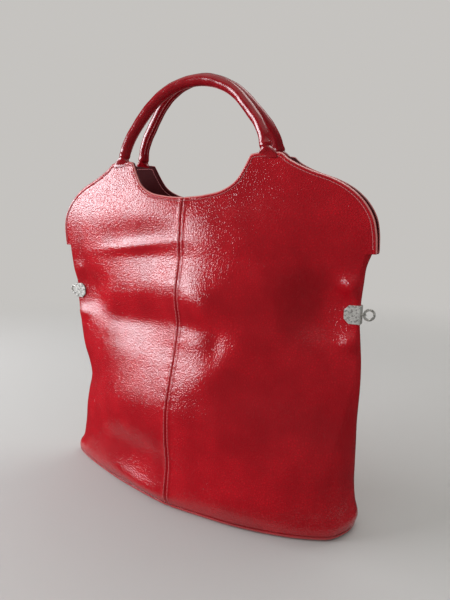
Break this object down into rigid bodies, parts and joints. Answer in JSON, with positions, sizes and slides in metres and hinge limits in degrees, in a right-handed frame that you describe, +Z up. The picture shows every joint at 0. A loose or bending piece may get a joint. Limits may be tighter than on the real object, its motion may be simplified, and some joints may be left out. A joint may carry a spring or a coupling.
{
  "type": "fold-over leather tote handbag",
  "caption": "Soft leather tote handbag with a flat oval foot, two winged sides that fold over, two rolled handles that swing, and a folded clasp plate with a split ring on each side.",
  "frame": {"origin": "middle of the foot's underside, on the floor", "axes": "+X to the right seen from the front, -Y to the front, +Z up"},
  "size_m": [0.3619, 0.124, 0.4264],
  "materials": {
    "red_leather": "glossy, fine pebbled grain",
    "maroon_facing": "satin",
    "lining_cloth": "matt twill",
    "seam_tape": "matt",
    "base_board": "matt",
    "aged_nickel": "aged nickel with darker pits"
  },
  "bodies": {
    "bag": {"front_left_panel": "red_leather", "front_right_panel": "red_leather", "back_left_panel": "red_leather", "back_right_panel": "red_leather", "base_panel": "red_leather", "front_left_handle_neck": "red_leather", "front_right_handle_neck": "red_leather", "back_left_handle_neck": "red_leather", "back_right_handle_neck": "red_leather", "front_facing": "maroon_facing", "back_facing": "maroon_facing", "front_lining": "lining_cloth", "back_lining": "lining_cloth", "base_lining": "lining_cloth", "front_seam_tape": "seam_tape", "back_seam_tape": "seam_tape", "base_board": "base_board", "left_clasp_plate": "aged_nickel", "right_clasp_plate": "aged_nickel", "left_clasp_screw": "aged_nickel", "right_clasp_screw": "aged_nickel"},
    "front_handle": {"front_handle_roll": "red_leather"},
    "back_handle": {"back_handle_roll": "red_leather"},
    "left_ring": {"left_ring": "aged_nickel"},
    "right_ring": {"right_ring": "aged_nickel"}
  },
  "joints": [
    {"name": "front_handle_swing", "type": "hinge", "parent": "bag", "child": "front_handle", "pos_m": [0, -0.0175, 0.346], "axis": [1, 0, 0], "range_deg": [0, 110], "deforming": ["front_left_handle_neck", "front_right_handle_neck"]},
    {"name": "back_handle_swing", "type": "hinge", "parent": "bag", "child": "back_handle", "pos_m": [0, 0.0175, 0.346], "axis": [-1, 0, 0], "range_deg": [0, 110], "deforming": ["back_left_handle_neck", "back_right_handle_neck"]},
    {"name": "right_ring_swing", "type": "hinge", "parent": "bag", "child": "right_ring", "pos_m": [0.1716, 0, 0.204], "axis": [0, 0, 1], "range_deg": [-115, 65]},
    {"name": "left_ring_swing", "type": "hinge", "parent": "bag", "child": "left_ring", "pos_m": [-0.1716, 0, 0.204], "axis": [0, 0, 1], "range_deg": [-85, 95]}
  ]
}
